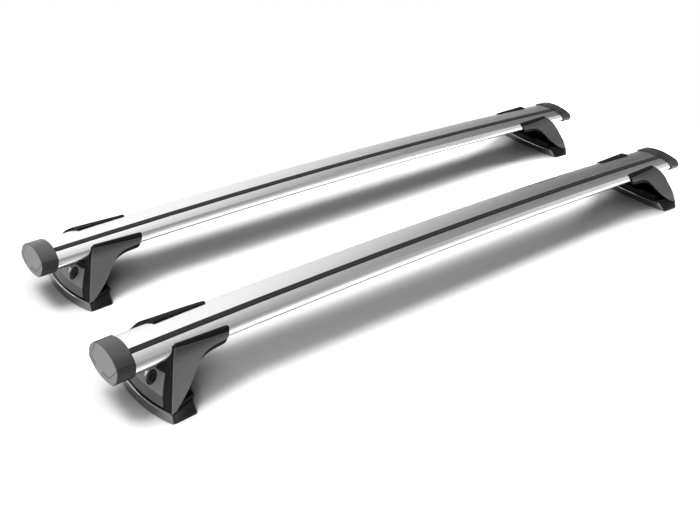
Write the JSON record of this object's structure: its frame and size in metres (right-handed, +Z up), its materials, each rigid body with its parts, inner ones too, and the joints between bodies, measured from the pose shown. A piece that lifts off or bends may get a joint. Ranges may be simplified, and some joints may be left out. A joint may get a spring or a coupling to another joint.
{
  "type": "roof crossbar pair",
  "caption": "Arched wing-section roof crossbars side by side on splayed clamp feet, with a rubber strip along each top, end caps and locking foot covers.",
  "frame": {"origin": "on the floor, in the middle of the pair's bounding box", "axes": "+X along the bars, +Y across them from the front bar to the rear bar, +Z up"},
  "size_m": [1.2444, 0.4676, 0.0907],
  "materials": {
    "bar_metal": "satin anodised, brushed along its length",
    "strip_rubber": "matte",
    "cap_plastic": "fine moulded grain",
    "foot_grey": "satin, fine moulded grain",
    "cover_grey": "satin, fine moulded grain",
    "foot_black": "fine moulded grain",
    "pad_rubber": "smooth with a sheen",
    "liner_rubber": "matte",
    "lock_black": "satin",
    "fastener_steel": "zinc plated"
  },
  "bodies": {
    "bars": {"front_bar": "bar_metal", "front_slot_strip": "strip_rubber", "front_cap_screws": "fastener_steel", "front_left_end_cap": "cap_plastic", "front_left_cap_lid": "cap_plastic", "front_right_end_cap": "cap_plastic", "front_right_cap_lid": "cap_plastic", "rear_bar": "bar_metal", "rear_slot_strip": "strip_rubber", "rear_cap_screws": "fastener_steel", "rear_left_end_cap": "cap_plastic", "rear_left_cap_lid": "cap_plastic", "rear_right_end_cap": "cap_plastic", "rear_right_cap_lid": "cap_plastic"},
    "front_left_foot": {"front_left_foot_frame": "foot_black", "front_left_foot_front_skirt": "foot_grey", "front_left_foot_rear_skirt": "foot_grey", "front_left_foot_base_pad": "pad_rubber", "front_left_foot_bar_liner": "liner_rubber", "front_left_foot_clamp_shoe": "fastener_steel", "front_left_foot_clamp_bolt": "fastener_steel"},
    "front_left_cover": {"front_left_foot_outer_cover": "cover_grey"},
    "front_left_lock": {"front_left_foot_lock_barrel": "lock_black"},
    "front_right_foot": {"front_right_foot_frame": "foot_black", "front_right_foot_front_skirt": "foot_grey", "front_right_foot_rear_skirt": "foot_grey", "front_right_foot_base_pad": "pad_rubber", "front_right_foot_bar_liner": "liner_rubber", "front_right_foot_clamp_shoe": "fastener_steel", "front_right_foot_clamp_bolt": "fastener_steel"},
    "front_right_cover": {"front_right_foot_outer_cover": "cover_grey"},
    "front_right_lock": {"front_right_foot_lock_barrel": "lock_black"},
    "rear_left_foot": {"rear_left_foot_frame": "foot_black", "rear_left_foot_front_skirt": "foot_grey", "rear_left_foot_rear_skirt": "foot_grey", "rear_left_foot_base_pad": "pad_rubber", "rear_left_foot_bar_liner": "liner_rubber", "rear_left_foot_clamp_shoe": "fastener_steel", "rear_left_foot_clamp_bolt": "fastener_steel"},
    "rear_left_cover": {"rear_left_foot_outer_cover": "cover_grey"},
    "rear_left_lock": {"rear_left_foot_lock_barrel": "lock_black"},
    "rear_right_foot": {"rear_right_foot_frame": "foot_black", "rear_right_foot_front_skirt": "foot_grey", "rear_right_foot_rear_skirt": "foot_grey", "rear_right_foot_base_pad": "pad_rubber", "rear_right_foot_bar_liner": "liner_rubber", "rear_right_foot_clamp_shoe": "fastener_steel", "rear_right_foot_clamp_bolt": "fastener_steel"},
    "rear_right_cover": {"rear_right_foot_outer_cover": "cover_grey"},
    "rear_right_lock": {"rear_right_foot_lock_barrel": "lock_black"}
  },
  "joints": [
    {"name": "front_left_foot_slide", "type": "slide", "parent": "bars", "child": "front_left_foot", "axis": [0.9995, 0, 0.0328], "range_m": [0, 0.04]},
    {"name": "front_left_cover_pull", "type": "slide", "parent": "front_left_foot", "child": "front_left_cover", "axis": [-1, 0, 0], "range_m": [0, 0.016]},
    {"name": "front_left_lock_turn", "type": "hinge", "parent": "front_left_cover", "child": "front_left_lock", "pos_m": [-0.5655, -0.177, 0.04], "axis": [-0.866, 0, 0.5], "range_deg": [0, 90]},
    {"name": "front_right_foot_slide", "type": "slide", "parent": "bars", "child": "front_right_foot", "axis": [-0.9995, 0, 0.0328], "range_m": [0, 0.04]},
    {"name": "front_right_cover_pull", "type": "slide", "parent": "front_right_foot", "child": "front_right_cover", "axis": [1, 0, 0], "range_m": [0, 0.016]},
    {"name": "front_right_lock_turn", "type": "hinge", "parent": "front_right_cover", "child": "front_right_lock", "pos_m": [0.5515, -0.177, 0.04], "axis": [0.866, 0, 0.5], "range_deg": [0, 90]},
    {"name": "rear_left_foot_slide", "type": "slide", "parent": "bars", "child": "rear_left_foot", "axis": [0.9995, 0, 0.0328], "range_m": [0, 0.04]},
    {"name": "rear_left_cover_pull", "type": "slide", "parent": "rear_left_foot", "child": "rear_left_cover", "axis": [-1, 0, 0], "range_m": [0, 0.016]},
    {"name": "rear_left_lock_turn", "type": "hinge", "parent": "rear_left_cover", "child": "rear_left_lock", "pos_m": [-0.5515, 0.115, 0.04], "axis": [-0.866, 0, 0.5], "range_deg": [0, 90]},
    {"name": "rear_right_foot_slide", "type": "slide", "parent": "bars", "child": "rear_right_foot", "axis": [-0.9995, 0, 0.0328], "range_m": [0, 0.04]},
    {"name": "rear_right_cover_pull", "type": "slide", "parent": "rear_right_foot", "child": "rear_right_cover", "axis": [1, 0, 0], "range_m": [0, 0.016]},
    {"name": "rear_right_lock_turn", "type": "hinge", "parent": "rear_right_cover", "child": "rear_right_lock", "pos_m": [0.5655, 0.115, 0.04], "axis": [0.866, 0, 0.5], "range_deg": [0, 90]}
  ]
}
